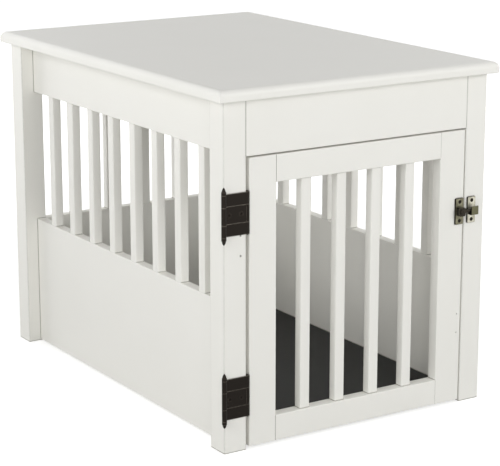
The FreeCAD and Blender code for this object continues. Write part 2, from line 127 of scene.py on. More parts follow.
# %% [markdown]
# ## A white sky
# A studio picture has a white background, but a white dome bright enough to look white would light
# the object flat and far too much. The Light Path node gives each kind of ray its own answer: the
# camera and reflections see pure white, and every other ray gets only a gentle light.


# %% A white sky
dome_strength = 0.15


def seen_directly(tree):
    """1 for a ray from the camera, a reflection or a view through glass, and 0 for a light ray."""
    path = add(tree, "ShaderNodeLightPath").outputs
    shown = add(tree, "ShaderNodeMath", {0: path["Is Camera Ray"], 1: path["Is Glossy Ray"]},
                operation="MAXIMUM")
    return add(tree, "ShaderNodeMath", {0: shown.outputs[0], 1: path["Is Transmission Ray"]},
               operation="MAXIMUM").outputs[0]


def studio_sky():
    """A dome that lights gently and looks white."""
    world = bpy.data.worlds.new("studio")
    bpy.context.scene.world = world
    world.use_nodes = True
    tree = world.node_tree
    tree.nodes.clear()
    strength = add(tree, "ShaderNodeMapRange", {"Value": seen_directly(tree),
                                                "To Min": dome_strength, "To Max": 1.0})
    light = add(tree, "ShaderNodeBackground", {"Color": linear("#FFFFFF"),
                                               "Strength": strength.outputs[0]})
    add(tree, "ShaderNodeOutputWorld", {"Surface": light.outputs[0]})


bpy.context.scene.view_settings.view_transform = "Standard"
studio_sky()
print("sky lights at", dome_strength)

# %% [markdown]
# ## A white floor
# The crate stands on a wide sheet of pale paper. To the camera it glows white, by the same trick as
# the sky. Near the crate the glow is weaker, and there the paper's own diffuse part lets a soft
# shadow show. Rays that carry light see only the paper, so the glow adds no light to the object.


# %% A white floor
floor_size = 24.0
floor_albedo = "#C8C8C6"
floor_glow = 0.62
glow_starts, glow_full = 0.5, 2.0  # metres from the crate's middle


def studio_floor():
    """A wide pale floor that looks white and still takes a shadow."""
    mesh = bpy.data.meshes.new("floor")
    half = floor_size / 2
    corners = [(-half, -half, 0), (half, -half, 0), (half, half, 0), (-half, half, 0)]
    mesh.from_pydata(corners, [], [(0, 1, 2, 3)])
    floor = bpy.data.objects.new("floor", mesh)
    bpy.context.scene.collection.objects.link(floor)
    paper = bpy.data.materials.new("white_paper_sweep")
    paper.use_nodes = True
    tree = paper.node_tree
    tree.nodes.clear()
    place = add(tree, "ShaderNodeTexCoord")
    away = add(tree, "ShaderNodeVectorMath", {0: place.outputs["Object"]}, operation="LENGTH")
    glow = add(tree, "ShaderNodeMapRange", {
        "Value": away.outputs["Value"], "From Min": glow_starts, "From Max": glow_full,
        "To Min": floor_glow, "To Max": 1.0}, interpolation_type="SMOOTHSTEP")
    matt = add(tree, "ShaderNodeBsdfDiffuse", {"Color": linear(floor_albedo)})
    white = add(tree, "ShaderNodeEmission", {"Color": linear("#FFFFFF"),
                                             "Strength": glow.outputs[0]})
    lit = add(tree, "ShaderNodeAddShader", {0: matt.outputs[0], 1: white.outputs[0]})
    either = add(tree, "ShaderNodeMixShader", {0: seen_directly(tree), 1: matt.outputs[0],
                                               2: lit.outputs[0]})
    add(tree, "ShaderNodeOutputMaterial", {"Surface": either.outputs[0]})
    mesh.materials.append(paper)


studio_floor()
print("floor is", floor_size, "metres wide")

# %% [markdown]
# ## Lamps
# White paint only looks like paint when its faces differ a little. So six softboxes stand low on
# all sides and none hangs overhead: the upright faces end up brighter than the top, and light gets
# in between the bars. The key stands in front on the right. Two small ones on the left aim through
# the door and through the left wall, to light the inside. Three large ones fill in the sides and
# the back.

# %% Lamps
lamps = (  # name, side in metres, watts, place in metres
    ("key", 1.2, 34.0, (1.2, -2.6, 1.4)),
    ("through_the_door", 1.2, 17.0, (-1.5, -2.8, 0.5)),
    ("through_the_left_bars", 1.2, 23.0, (-2.4, -1.0, 1.3)),
    ("left_side", 2.6, 14.0, (-2.5, 0.5, 0.9)),
    ("right_side", 2.6, 36.0, (2.5, 0.2, 1.1)),
    ("behind", 2.4, 42.0, (-0.6, 2.6, 1.0)),
)


def softbox(name, size, power, place):
    """A square white area lamp that faces the middle of the crate."""
    lamp = bpy.data.lights.new(name, "AREA")
    lamp.size, lamp.energy = size, power
    box = bpy.data.objects.new(name, lamp)
    bpy.context.scene.collection.objects.link(box)
    box.location = place
    middle = (cad_low + cad_high) / 2
    box.rotation_euler = (middle - box.location).to_track_quat("-Z", "Y").to_euler()


for lamp_settings in lamps:
    softbox(*lamp_settings)
print("lamps:", len(lamps), "with", sum(lamp[2] for lamp in lamps), "watts")

# %% [markdown]
# ## Satin white enamel
# The wood is sprayed with a warm white satin enamel. Up close such a film has orange peel, a gentle
# dimpling a couple of millimetres across, and on the solid pine pieces the grain still telegraphs
# through it as faint lines along the board. The lower panels and the top are fibreboard, so they
# have the dimples alone. A slow drift in tone and gloss stands for the film's uneven thickness.
#
# Paint doesn't reach the bottom of a joint, so a joint is a fine grey line, and the same grey is
# painted shade in the creases where parts meet, as under the edge of the top. The posts get a
# darker line down their corners too. An Ambient Occlusion node finds both: it asks how much is
# close by, outside the surface for a joint and inside it for a corner. Its reach is less than the
# gaps round the door, because the faces in those gaps are painted.

# %% Satin white enamel
enamel_full = "#F2F1EC"
enamel_thin = "#EEEDE7"
enamel_on_post_corner = "#8E8D85"
# a joint's grey, which is also painted shade in the creases where parts meet
enamel_in_joint_and_shade = "#8A887E"
enamel_ior = 1.45
satin_roughness = (0.42, 0.50)
drift_size = 120  # mm
peel_size = 2.2  # mm
pore_width, pore_length = 1.4, 70  # mm, coarser than real pores, which are too fine to show here
pore_share = 0.6  # of the film's relief on pine, the rest being orange peel
film_relief = 0.02 * MM
# each pair of levels says how open the surroundings are, out of 1, in the line and clear of it
corner_reach, corner_levels = 2.0 * MM, (0.55, 0.92)
joint_shade_reach, joint_shade_levels = 1.8 * MM, (0.50, 0.95)


def new_finish(name):
    """A material, its tree, its shader and the object's own coordinates."""
    material = bpy.data.materials.new(name)
    material.use_nodes = True
    tree = material.node_tree
    place = add(tree, "ShaderNodeTexCoord")
    return material, tree, tree.nodes["Principled BSDF"], place


def near_surfaces(tree, reach, inside, levels):
    """From 0 to 1, how closely surfaces crowd in: across a joint, or inside behind a corner."""
    closed, clear = levels
    crowd = add(tree, "ShaderNodeAmbientOcclusion", {"Distance": reach}, samples=6, inside=inside)
    return add(tree, "ShaderNodeMapRange", {"Value": crowd.outputs["AO"], "From Min": clear,
                                            "From Max": closed}).outputs[0]


def satin_enamel(name, grain=None, corner_line=False):
    """White satin enamel. grain is the axis of a pine board's lines; the last one draws dark
    corners.
    """
    material, tree, shader, place = new_finish(name)
    where = place.outputs["Object"]
    drift = add(tree, "ShaderNodeTexNoise", {"Vector": where, "Scale": per_mm(drift_size),
                                             "Detail": 2.0})
    film = add(tree, "ShaderNodeMix", {0: drift.outputs["Fac"], 6: linear(enamel_thin),
                                       7: linear(enamel_full)}, data_type="RGBA")
    if corner_line:
        # a darker line down the corners of a post
        corner = near_surfaces(tree, corner_reach, True, corner_levels)
        film = add(tree, "ShaderNodeMix", {0: corner, 6: film.outputs[2],
                                           7: linear(enamel_on_post_corner)}, data_type="RGBA")
    # grey where paint doesn't bridge a joint, and painted shade in the same grey in every crease
    joint_and_shade = near_surfaces(tree, joint_shade_reach, False, joint_shade_levels)
    film = add(tree, "ShaderNodeMix", {0: joint_and_shade, 6: film.outputs[2], 7: linear(enamel_in_joint_and_shade)},
               data_type="RGBA")
    peel = add(tree, "ShaderNodeTexNoise", {"Vector": where, "Scale": per_mm(peel_size),
                                            "Detail": 1.0})
    height = peel.outputs["Fac"]
    if grain is not None:
        lines = [per_mm(pore_width)] * 3
        lines[grain] = per_mm(pore_length)
        along = add(tree, "ShaderNodeMapping", {"Vector": where, "Scale": lines})
        pores = add(tree, "ShaderNodeTexNoise", {"Vector": along.outputs[0], "Scale": 1.0,
                                                 "Detail": 3.0, "Roughness": 0.6})
        height = add(tree, "ShaderNodeMix", {0: pore_share, 2: height,
                                             3: pores.outputs["Fac"]}).outputs[0]
    bump = add(tree, "ShaderNodeBump", {"Height": height, "Distance": film_relief,
                                        "Strength": 0.5})
    gloss = add(tree, "ShaderNodeMapRange", {"Value": drift.outputs["Fac"],
                                             "To Min": satin_roughness[0],
                                             "To Max": satin_roughness[1]})
    for socket, value in {"Base Color": film.outputs[2], "Roughness": gloss.outputs[0],
                          "Normal": bump.outputs[0]}.items():
        tree.links.new(value, shader.inputs[socket])
    shader.inputs["IOR"].default_value = enamel_ior
    return material


enamel_on_fibreboard = satin_enamel("satin_enamel_on_fibreboard")
enamel_on_pine = [satin_enamel("satin_enamel_on_pine_" + axis, i) for i, axis in enumerate("xyz")]
enamel_on_posts = satin_enamel("satin_enamel_on_posts_corner_line", 2, True)
print("enamel finishes:", 2 + len(enamel_on_pine))

# %% [markdown]
# ## Charcoal floor board
# The floor is a thin hardboard with a charcoal melamine face, as on a cupboard's back. Such a face
# is pressed against a textured plate, so it has a fine pebble and a low, even sheen.

# %% Charcoal floor board
melamine_dark, melamine_pale = "#191918", "#222221"
melamine_roughness = 0.7
smudge_size = 45  # mm
pebble_size = 1.5  # mm, coarser than a real pebble of half that, which is too fine to show here
pebble_relief = 0.05 * MM


def charcoal_melamine():
    """A charcoal face with slow smudges in its tone and a pressed pebble."""
    material, tree, shader, place = new_finish("charcoal_melamine")
    where = place.outputs["Object"]
    smudge = add(tree, "ShaderNodeTexNoise", {"Vector": where, "Scale": per_mm(smudge_size),
                                              "Detail": 4.0})
    tone = add(tree, "ShaderNodeMix", {0: smudge.outputs["Fac"], 6: linear(melamine_dark),
                                       7: linear(melamine_pale)}, data_type="RGBA")
    pebble = add(tree, "ShaderNodeTexVoronoi", {"Vector": where, "Scale": per_mm(pebble_size)})
    bump = add(tree, "ShaderNodeBump", {"Height": pebble.outputs["Distance"],
                                        "Distance": pebble_relief, "Strength": 0.6})
    for socket, value in {"Base Color": tone.outputs[2], "Normal": bump.outputs[0]}.items():
        tree.links.new(value, shader.inputs[socket])
    shader.inputs["Roughness"].default_value = melamine_roughness
    return material


charcoal = charcoal_melamine()
print(charcoal.name, "between", melamine_dark, "and", melamine_pale)

# %% [markdown]
# ## Bare wood inside
# Dowels are beech and the hidden battens are poplar. Both are left raw, so they show what the paint
# hides everywhere else: straight bands of early and late wood, a few millimetres wide and a great
# deal longer, with darker flecks in them.

# %% Bare wood inside
late_wood, early_wood, fleck_tone = "#C4A377", "#DDC59C", "#9C7648"
bare_roughness = 0.7
band_width, band_length = 3.0, 90  # mm
fleck_width, fleck_length = 0.5, 6  # mm
fleck_relief = 0.05 * MM


def bare_poplar(name, grain):
    """Unpainted straight-grained wood whose bands run along one axis."""
    material, tree, shader, place = new_finish(name)
    where = place.outputs["Object"]
    bands = [per_mm(band_width)] * 3
    bands[grain] = per_mm(band_length)
    along = add(tree, "ShaderNodeMapping", {"Vector": where, "Scale": bands})
    band = add(tree, "ShaderNodeTexNoise", {"Vector": along.outputs[0], "Scale": 1.0,
                                            "Detail": 2.0, "Distortion": 0.4})
    fleck_size = [per_mm(fleck_width)] * 3
    fleck_size[grain] = per_mm(fleck_length)
    across = add(tree, "ShaderNodeMapping", {"Vector": where, "Scale": fleck_size})
    fleck = add(tree, "ShaderNodeTexNoise", {"Vector": across.outputs[0], "Scale": 1.0,
                                             "Detail": 1.0})
    ramp = add(tree, "ShaderNodeValToRGB", {"Fac": band.outputs["Fac"]})
    ramp.color_ramp.elements[0].position, ramp.color_ramp.elements[1].position = 0.35, 0.65
    ramp.color_ramp.elements[0].color = linear(late_wood)
    ramp.color_ramp.elements[1].color = linear(early_wood)
    dark = add(tree, "ShaderNodeMapRange", {"Value": fleck.outputs["Fac"], "From Min": 0.6,
                                            "From Max": 0.75, "To Max": 0.35})
    tone = add(tree, "ShaderNodeMix", {0: dark.outputs[0], 6: ramp.outputs[0],
                                       7: linear(fleck_tone)}, data_type="RGBA")
    bump = add(tree, "ShaderNodeBump", {"Height": fleck.outputs["Fac"], "Distance": fleck_relief,
                                        "Strength": 0.5})
    for socket, value in {"Base Color": tone.outputs[2], "Normal": bump.outputs[0]}.items():
        tree.links.new(value, shader.inputs[socket])
    shader.inputs["Roughness"].default_value = bare_roughness
    return material


raw_wood = [bare_poplar("raw_poplar_" + axis, i) for i, axis in enumerate("xyz")]
print("bare wood finishes:", len(raw_wood))

# %% [markdown]
# ## Dark bronze hinges
# The hinges are steel with a dark oil-rubbed bronze finish under a thin lacquer. To the eye it is
# nearly black, with a brown warmth where the edges have been rubbed; the pale edges also serve as
# painted highlights, like the glints along the hinges' bands. An edge is found by comparing the
# surface with what it would be if all its corners were rounded: where the two differ, there is an
# edge. The latch's lever, left oxidised, and the blackened screws are made in the same way.

# %% Dark bronze hinges
rub_radius = 0.8 * MM  # how far from an edge the rubbing reaches
rub_size = 4  # mm, one patch of the uneven rubbing
lacquer_relief = 0.03 * MM
lacquered_metal = 0.9  # a little less than bare metal, because the lacquer lies over it


def rubbed_bronze(name, dark, rubbed_and_highlight, roughness):
    """Dark lacquered bronze plating with rubbed edges, whose pale tone is also a painted highlight.
    """
    material, tree, shader, place = new_finish(name)
    where = place.outputs["Object"]
    rounded = add(tree, "ShaderNodeBevel", {"Radius": rub_radius}, samples=6)
    flat = add(tree, "ShaderNodeNewGeometry")
    same = add(tree, "ShaderNodeVectorMath", {0: rounded.outputs[0], 1: flat.outputs["Normal"]},
               operation="DOT_PRODUCT")
    edge = add(tree, "ShaderNodeMapRange", {"Value": same.outputs["Value"], "From Min": 0.99,
                                            "From Max": 0.80})
    rub = add(tree, "ShaderNodeTexNoise", {"Vector": where, "Scale": per_mm(rub_size),
                                           "Detail": 3.0})
    worn_and_highlight = add(tree, "ShaderNodeMath", {0: edge.outputs[0], 1: rub.outputs["Fac"]},
               operation="MULTIPLY")
    # the pale edge tone is rubbing, and also a painted highlight on the edges
    tone = add(tree, "ShaderNodeMix", {0: worn_and_highlight.outputs[0], 6: linear(dark), 7: linear(rubbed_and_highlight)},
               data_type="RGBA")
    gloss = add(tree, "ShaderNodeMapRange", {"Value": rub.outputs["Fac"],
                                             "To Min": roughness - 0.05,
                                             "To Max": roughness + 0.08})
    bump = add(tree, "ShaderNodeBump", {"Height": rub.outputs["Fac"], "Distance": lacquer_relief,
                                        "Strength": 0.4})
    for socket, value in {"Base Color": tone.outputs[2], "Roughness": gloss.outputs[0],
                          "Normal": bump.outputs[0]}.items():
        tree.links.new(value, shader.inputs[socket])
    shader.inputs["Metallic"].default_value = lacquered_metal
    return material


# the second tone of each is rubbed edges and painted highlights
hinge_bronze = rubbed_bronze("oil_rubbed_bronze", "#1F1B17", "#A0978A", 0.40)
oxidised_brass = rubbed_bronze("oxidised_brass", "#2B2721", "#958C74", 0.34)
blackened_steel = rubbed_bronze("blackened_steel", "#1C1814", "#332C25", 0.42)
print("dark metals:", hinge_bronze.name, oxidised_brass.name, blackened_steel.name)

# %% [markdown]
# ## Relieved antique brass
# The latch plates are brass that was darkened all over and then polished on the front only, which
# the trade calls relieved. So the faces that point outwards are an olive gold with paler rubbed
# patches, and the edges and recesses keep the dark film, which on the plates' sides is also painted
# shade. The surface's own direction tells the two apart. The keeper's plate is the palest, and its
# hook, which fingers touch, has gone dull again.

# %% Relieved antique brass
# the dark film, which on the plates' sides is also painted shade
brass_film_and_side_shade = "#1B1510"
hook_olive = "#5C5A47"
hook_gap = 3 * MM  # further out than this from the plates, only the keeper's hook is left
hook_fade = 0.5 * MM
patch_size = 7  # mm
brush_width, brush_length = 0.25, 3  # mm, fine lines that lie across the plates
brush_relief = 0.02 * MM
relieved_roughness = (0.28, 0.46)


def relieved_brass(name, face_dull, face_bright, handled):
    """Brass polished on its front. The faces that stand out past y = handled are dull again."""
    material, tree, shader, place = new_finish(name)
    where = place.outputs["Object"]
    side = add(tree, "ShaderNodeSeparateXYZ", {0: place.outputs["Normal"]})
    outward = add(tree, "ShaderNodeMapRange", {"Value": side.outputs["Y"], "From Min": -0.45,
                                               "From Max": -0.95})
    patch = add(tree, "ShaderNodeTexNoise", {"Vector": where, "Scale": per_mm(patch_size),
                                             "Detail": 3.0})
    patchy = add(tree, "ShaderNodeMapRange", {"Value": patch.outputs["Fac"], "From Min": 0.35,
                                              "From Max": 0.65})
    face = add(tree, "ShaderNodeMix", {0: patchy.outputs[0], 6: linear(face_dull),
                                       7: linear(face_bright)}, data_type="RGBA")
    depth = add(tree, "ShaderNodeSeparateXYZ", {0: where})
    dulled = add(tree, "ShaderNodeMapRange", {"Value": depth.outputs["Y"],
                                              "From Min": handled + hook_fade,
                                              "From Max": handled})
    face = add(tree, "ShaderNodeMix", {0: dulled.outputs[0], 6: face.outputs[2],
                                       7: linear(hook_olive)}, data_type="RGBA")
    # faces that don't point out get the dark film, which is also painted shade on the sides
    tone = add(tree, "ShaderNodeMix", {0: outward.outputs[0], 6: linear(brass_film_and_side_shade),
                                       7: face.outputs[2]}, data_type="RGBA")
    strokes = (per_mm(brush_length), per_mm(brush_length), per_mm(brush_width))
    brushed = add(tree, "ShaderNodeMapping", {"Vector": where, "Scale": strokes})
    lines = add(tree, "ShaderNodeTexNoise", {"Vector": brushed.outputs[0], "Scale": 1.0,
                                             "Detail": 2.0})
    gloss = add(tree, "ShaderNodeMapRange", {"Value": patch.outputs["Fac"],
                                             "To Min": relieved_roughness[0],
                                             "To Max": relieved_roughness[1]})
    bump = add(tree, "ShaderNodeBump", {"Height": lines.outputs["Fac"], "Distance": brush_relief,
                                        "Strength": 0.5})
    for socket, value in {"Base Color": tone.outputs[2], "Roughness": gloss.outputs[0],
                          "Normal": bump.outputs[0]}.items():
        tree.links.new(value, shader.inputs[socket])
    shader.inputs["Metallic"].default_value = 1.0
    return material


hook_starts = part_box("latch_door_plate")[0].y - hook_gap
plate_brass = relieved_brass("relieved_brass_olive", "#5B5848", "#7D7A67", hook_starts)
keeper_brass = relieved_brass("relieved_brass_pale", "#979485", "#C3C0B2", hook_starts)
print("hook starts at y, mm:", round(hook_starts / MM, 1))

# %% [markdown]
# ## Zinc screws
# Where nobody looks, the screws are plain bright zinc. The plating is a thin crystalline film, so
# it is pale, slightly blue, and mottled in patches smaller than a millimetre.

# %% Zinc screws
zinc_dull, zinc_pale = "#B9BEC4", "#D9DCE0"
zinc_roughness = (0.25, 0.45)
spangle_size = 0.8  # mm


def bright_zinc():
    """Pale zinc plating with a fine spangle."""
    material, tree, shader, place = new_finish("bright_zinc_plate")
    where = place.outputs["Object"]
    spangle = add(tree, "ShaderNodeTexVoronoi", {"Vector": where, "Scale": per_mm(spangle_size)})
    tone = add(tree, "ShaderNodeMix", {0: spangle.outputs["Distance"], 6: linear(zinc_dull),
                                       7: linear(zinc_pale)}, data_type="RGBA")
    gloss = add(tree, "ShaderNodeMapRange", {"Value": spangle.outputs["Distance"],
                                             "To Min": zinc_roughness[0],
                                             "To Max": zinc_roughness[1]})
    for socket, value in {"Base Color": tone.outputs[2], "Roughness": gloss.outputs[0]}.items():
        tree.links.new(value, shader.inputs[socket])
    shader.inputs["Metallic"].default_value = 1.0
    return material


zinc = bright_zinc()
print(zinc.name, "between", zinc_dull, "and", zinc_pale)

# %% [markdown]
# ## Growing a piece from a rule
# Geometry Nodes turn a few sizes into a mesh. Each tree below is written here, gets named inputs,
# and is used through a modifier on an empty object. The modifier's inputs are filled by the
# sockets' identifiers, the result is copied into a plain mesh, and the modifier is taken off again,
# so that the finished piece no longer depends on the tree.


# %% Growing a piece from a rule
SOCKETS = {"Finish": "NodeSocketMaterial", "Model": "NodeSocketObject", "Count": "NodeSocketInt",
           "Rings": "NodeSocketInt", "First": "NodeSocketVector", "Step": "NodeSocketVector"}


def new_rule(name, *inputs):
    """A Geometry Nodes tree with named inputs, and the node that hands them out."""
    tree = bpy.data.node_groups.new(name, "GeometryNodeTree")
    tree.interface.new_socket(name="Geometry", in_out="OUTPUT", socket_type="NodeSocketGeometry")
    tree.interface.new_socket(name="Geometry", in_out="INPUT", socket_type="NodeSocketGeometry")
    for title in inputs:
        kind = SOCKETS.get(title, "NodeSocketFloat")
        tree.interface.new_socket(name=title, in_out="INPUT", socket_type=kind)
    return tree, add(tree, "NodeGroupInput").outputs


def close_rule(tree, shape, finish, crease=30):
    """Ends a tree: real geometry, smooth faces that stay sharp at their edges, and a finish."""
    real = add(tree, "GeometryNodeRealizeInstances", {0: shape})
    smooth = add(tree, "GeometryNodeSetShadeSmooth", {0: real.outputs[0]})
    angle = add(tree, "GeometryNodeInputMeshEdgeAngle")
    sharp = add(tree, "FunctionNodeCompare", {0: angle.outputs[0], 1: math.radians(crease)},
                operation="GREATER_THAN")
    edged = add(tree, "GeometryNodeSetShadeSmooth", {0: smooth.outputs[0], 1: sharp.outputs[0],
                                                     2: False}, domain="EDGE")
    painted = add(tree, "GeometryNodeSetMaterial", {0: edged.outputs[0], 2: finish})
    add(tree, "NodeGroupOutput", {0: painted.outputs[0]})


def grow(name, tree, values, seedling=None):
    """Runs a tree on a new object and keeps the result as its plain mesh."""
    piece = bpy.data.objects.new(name, seedling or bpy.data.meshes.new(name))
    bpy.context.scene.collection.objects.link(piece)
    rule = piece.modifiers.new(tree.name, "NODES")
    rule.node_group = tree
    for socket in tree.interface.items_tree:
        if socket.in_out == "INPUT" and socket.name in values:
            rule[socket.identifier] = values[socket.name]
    grown = piece.evaluated_get(bpy.context.evaluated_depsgraph_get())
    mesh = bpy.data.meshes.new_from_object(grown)
    piece.modifiers.remove(rule)
    piece.data = mesh
    mesh.name = name
    print(name, len(mesh.vertices), "points")
    return piece


def fit(piece, body, node):
    """A finished piece rides on its body and stands for a CAD node, which it hides."""
    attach(piece, body)
    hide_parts(node)
    return piece


# %% [markdown]
# ## The moulded top
# The top is a slab whose edge was run past a router: a large round over the upper edge, a tiny
# softened arris below. A profile pushed round a rectangle is a rule, so the tree starts from a
# four-sided column of many rings. Each ring asks the profile how far in and how high it should be,
# and moves there. The corners stay sharp, as the router leaves them.

# %% The moulded top
top_round = 10 * MM
top_arris = 1.5 * MM
top_margin = 2 * MM  # a flat band inside the round, which keeps the shading of the top flat
top_rings = 44
round_steps = 12


def moulded_slab():
    """The tree that pushes an edge profile round a rectangle."""
    tree, given = new_rule("moulded_slab", "Width", "Depth", "Thickness", "Underside", "Round",
                           "Arris", "Margin", "Rings", "Finish")
    inner = add(tree, "ShaderNodeMath", {0: given["Round"], 1: given["Margin"]}, operation="ADD")
    foot = add(tree, "ShaderNodeCombineXYZ", {0: inner.outputs[0]})
    head = add(tree, "ShaderNodeCombineXYZ", {0: inner.outputs[0], 2: given["Thickness"]})
    edge = add(tree, "ShaderNodeCombineXYZ", {2: given["Thickness"]})
    outline = add(tree, "GeometryNodeCurvePrimitiveQuadrilateral",
                  {7: foot.outputs[0], 8: (0, 0, 0), 9: edge.outputs[0], 10: head.outputs[0]},
                  mode="POINTS")
    profile = add(tree, "GeometryNodeSetSplineCyclic", {0: outline.outputs[0], 2: False})
    number = add(tree, "GeometryNodeInputIndex")
    upper = add(tree, "FunctionNodeCompare", {2: number.outputs[0], 3: 2}, operation="EQUAL",
                data_type="INT")
    radius = add(tree, "GeometryNodeSwitch", {0: upper.outputs[0], 1: given["Arris"],
                                              2: given["Round"]}, input_type="FLOAT")
    routed = add(tree, "GeometryNodeFilletCurve", {0: profile.outputs[0], 1: round_steps,
                                                   2: radius.outputs[0], 3: True}, mode="POLY")
    column = add(tree, "GeometryNodeMeshCylinder", {0: 4, 1: given["Rings"], 3: 1.0, 4: 1.0})
    spot = add(tree, "GeometryNodeInputPosition")
    part = add(tree, "ShaderNodeSeparateXYZ", {0: spot.outputs[0]})
    share = add(tree, "ShaderNodeMath", {0: part.outputs["Z"], 1: 0.5}, operation="ADD")
    ring = add(tree, "GeometryNodeSampleCurve", {0: routed.outputs[0], 2: share.outputs[0]},
               mode="FACTOR")
    offset = add(tree, "ShaderNodeSeparateXYZ", {0: ring.outputs["Position"]})
    sides = []
    for span, sign in ((given["Width"], "SUBTRACT"), (given["Depth"], "ADD")):
        corner = add(tree, "ShaderNodeMath", {0: part.outputs["X"], 1: part.outputs["Y"]},
                     operation=sign)
        side = add(tree, "ShaderNodeMath", {0: corner.outputs[0]}, operation="SIGN")
        half = add(tree, "ShaderNodeMath", {0: span, 1: 0.5}, operation="MULTIPLY")
        reach = add(tree, "ShaderNodeMath", {0: half.outputs[0], 1: offset.outputs["X"]},
                    operation="SUBTRACT")
        sides.append(add(tree, "ShaderNodeMath", {0: side.outputs[0], 1: reach.outputs[0]},
                         operation="MULTIPLY").outputs[0])
    height = add(tree, "ShaderNodeMath", {0: offset.outputs["Z"], 1: given["Underside"]},
                 operation="ADD")
    moved = add(tree, "ShaderNodeCombineXYZ", {0: sides[0], 1: sides[1], 2: height.outputs[0]})
    slab = add(tree, "GeometryNodeSetPosition", {0: column.outputs["Mesh"], 2: moved.outputs[0]})
    close_rule(tree, slab.outputs[0], given["Finish"])
    return tree


top_low, top_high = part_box("table_top")
table_top = grow("moulded_top", moulded_slab(), {
    "Width": top_high.x - top_low.x, "Depth": top_high.y - top_low.y,
    "Thickness": top_high.z - top_low.z, "Underside": top_low.z, "Round": top_round,
    "Arris": top_arris, "Margin": top_margin, "Rings": top_rings,
    "Finish": enamel_on_fibreboard})
fit(table_top, "frame", "table_top")

# %% [markdown]
# ## Rows of bars
# Every wall, and the door, holds a row of equal upright bars with softened edges. One tree draws a
# bar by pulling a rounded rectangle up a line, then sets copies of it along a straight row. The CAD
# node gives the row's ends and the bars' depth, so the row is spaced as the frame has it, and the
# bars stop a millimetre inside the rails that hold them.

# %% Rows of bars
bar_width = 17 * MM
bar_ease = 1.8 * MM
bar_entry = 1 * MM
ease_steps = 5


def bar_row():
    """The tree that draws one bar and sets copies of it along a straight row."""
    tree, given = new_rule("bar_row", "Across", "Deep", "Length", "Ease", "Count", "First", "Step",
                           "Finish")
    outline = add(tree, "GeometryNodeCurvePrimitiveQuadrilateral",
                  {0: given["Across"], 1: given["Deep"]})
    section = add(tree, "GeometryNodeFilletCurve", {0: outline.outputs[0], 1: ease_steps,
                                                    2: given["Ease"], 3: True}, mode="POLY")
    rise = add(tree, "ShaderNodeCombineXYZ", {2: given["Length"]})
    line = add(tree, "GeometryNodeCurvePrimitiveLine", {0: (0, 0, 0), 1: rise.outputs[0]})
    bar = add(tree, "GeometryNodeCurveToMesh", {0: line.outputs[0], 1: section.outputs[0],
                                                3: True})
    row = add(tree, "GeometryNodeMeshLine", {0: given["Count"], 2: given["First"],
                                             3: given["Step"]})
    bars = add(tree, "GeometryNodeInstanceOnPoints", {0: row.outputs[0], 2: bar.outputs[0]})
    close_rule(tree, bars.outputs[0], given["Finish"], crease=40)
    return tree


def row_of_bars(name, node, body, count, along, foot, head):
    """Bars in the place of one CAD row. along is the axis that the row runs on."""
    low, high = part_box(node)
    first, last = (low + high) / 2, (low + high) / 2
    first[along], last[along] = low[along] + bar_width / 2, high[along] - bar_width / 2
    first.z = last.z = foot - bar_entry
    size = high - low
    size[along] = bar_width
    bars = grow(name, bar_tree, {
        "Across": size.x, "Deep": size.y, "Length": head - foot + 2 * bar_entry, "Ease": bar_ease,
        "Count": count, "First": first, "Step": (last - first) / (count - 1),
        "Finish": enamel_on_pine[2]})
    return fit(bars, body, node)


bar_tree = bar_row()
wall_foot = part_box("left_lower_panel")[1].z
wall_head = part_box("left_top_rail")[0].z
door_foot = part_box("door_bottom_rail")[1].z
door_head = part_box("door_top_rail")[0].z
for side in ("left", "right"):
    row_of_bars(side + "_bars", side + "_slats", "frame", 8, 1, wall_foot, wall_head)
row_of_bars("back_bars", "back_slats", "frame", 5, 0, wall_foot, wall_head)
row_of_bars("door_bars", "door_slats", "door", 4, 0, door_foot, door_head)

# %% [markdown]
# ## The loose floor
# The floor is a plain board with its edges sanded, so that it lifts out without a splinter. It is a
# box with every edge bevelled, made with bmesh because there is nothing to repeat in it.


# %% The loose floor
def eased_board(name, low, high, ease, finish):
    """A board between two corners, with small round edges."""
    shape = bmesh.new()
    bmesh.ops.create_cube(shape, size=1.0)
    for point in shape.verts:
        point.co = [low[i] if point.co[i] < 0 else high[i] for i in range(3)]
    bmesh.ops.bevel(shape, geom=list(shape.edges), offset=ease, segments=3, profile=0.5,
                    affect="EDGES")
    for face in shape.faces:
        face.smooth = True
    mesh = bpy.data.meshes.new(name)
    shape.to_mesh(mesh)
    shape.free()
    mesh.materials.append(finish)
    piece = bpy.data.objects.new(name, mesh)
    bpy.context.scene.collection.objects.link(piece)
    return piece


floor_ease = 1 * MM
floor_low, floor_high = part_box("floor_panel")
lift_out_floor = eased_board("lift_out_floor", floor_low, floor_high, floor_ease, charcoal)
fit(lift_out_floor, "frame", "floor_panel")
print("floor, mm:", [round(v / MM, 1) for v in floor_high - floor_low])

# %% [markdown]
# ## Which way each solid lies
# A node can hold several loose solids, such as four screws or eight dowels. A CAD mesh arrives as
# loose triangles, so a copy is merged first, and then each solid is what can be reached from one
# point along the edges. Its longest side says where its grain or its shank runs.


# %% Which way each solid lies
same_point = 0.001 * MM


def solids_of(node):
    """The points of each separate solid in a CAD node."""
    copy = bmesh.new()
    copy.from_mesh(nodes[node].data)
    bmesh.ops.remove_doubles(copy, verts=copy.verts, dist=same_point)
    copy.verts.index_update()
    seen, solids = set(), []
    for start in copy.verts:
        if start.index in seen:
            continue
        seen.add(start.index)
        border, points = [start], []
        while border:
            point = border.pop()
            points.append(point.co.copy())
            near = [edge.other_vert(point) for edge in point.link_edges]
            near = [other for other in near if other.index not in seen]
            seen.update(other.index for other in near)
            border.extend(near)
        solids.append(points)
    copy.free()
    return solids


